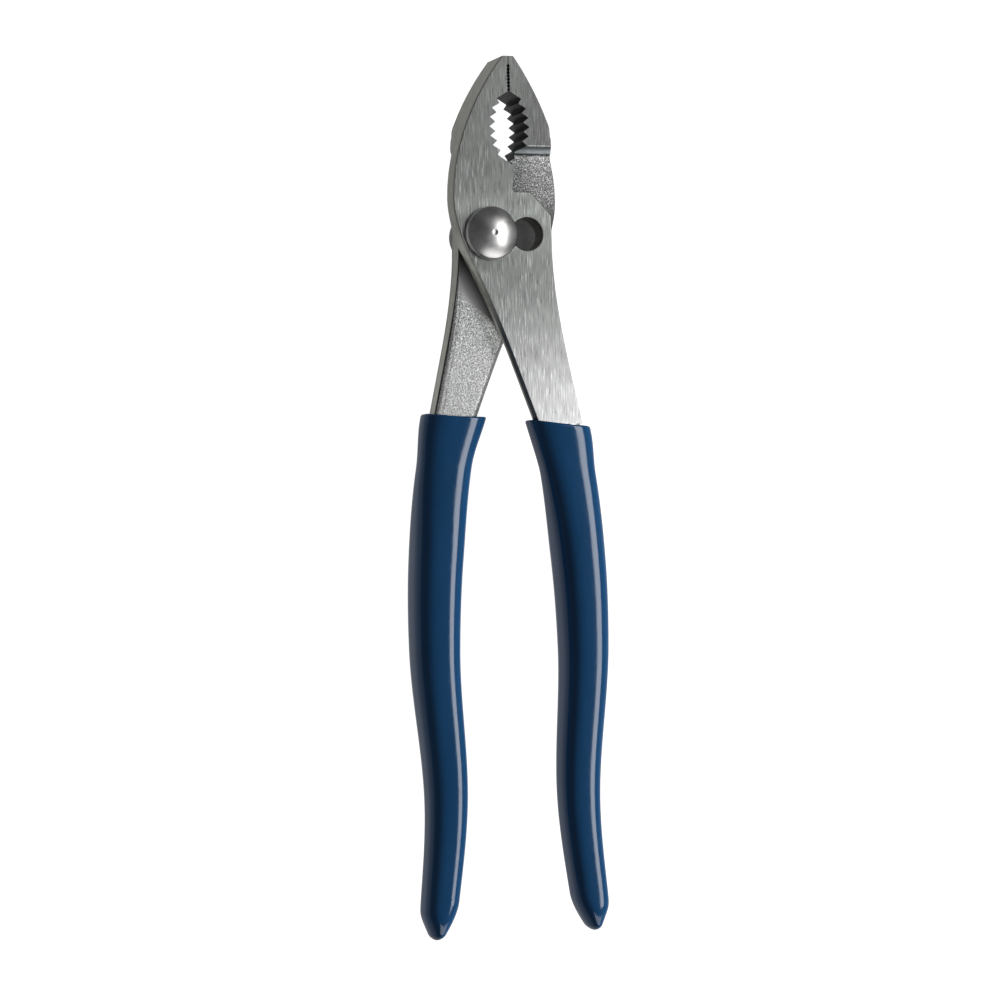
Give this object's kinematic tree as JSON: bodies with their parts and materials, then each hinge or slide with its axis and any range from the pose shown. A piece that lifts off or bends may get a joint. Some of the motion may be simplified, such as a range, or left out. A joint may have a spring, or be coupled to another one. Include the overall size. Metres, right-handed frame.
{
  "type": "slip joint pliers",
  "caption": "Slip joint pliers: forged levers with toothed jaws and pipe grip on a bolt that shifts between slot seats, and dipped handle grips.",
  "frame": {"origin": "on the bolt axis, at the back face of the nut, which is the plane the tool lies on", "axes": "+Y from the bolt towards the nose of the jaws, +Z along the bolt towards its head, +X across the jaws from the narrow seat to the wide seat"},
  "size_m": [0.0483, 0.2058, 0.0157],
  "materials": {
    "lever_steel": "ground flats with fine grinding lines, forged necks",
    "bolt_steel": "polished",
    "grip_vinyl": "glossy dipped plastic"
  },
  "bodies": {
    "front": {"front_lever": "lever_steel", "front_grip": "grip_vinyl"},
    "pivot": {"pivot_bolt": "bolt_steel", "pivot_nut": "bolt_steel"},
    "rear": {"rear_lever": "lever_steel", "rear_grip": "grip_vinyl"}
  },
  "joints": [
    {"name": "slip", "type": "slide", "parent": "front", "child": "pivot", "axis": [1, 0, 0], "range_m": [0, 0.0091]},
    {"name": "opening", "type": "hinge", "parent": "pivot", "child": "rear", "pos_m": [0, 0, 0.00755], "axis": [0, 0, -1], "range_deg": [0, 60]}
  ]
}
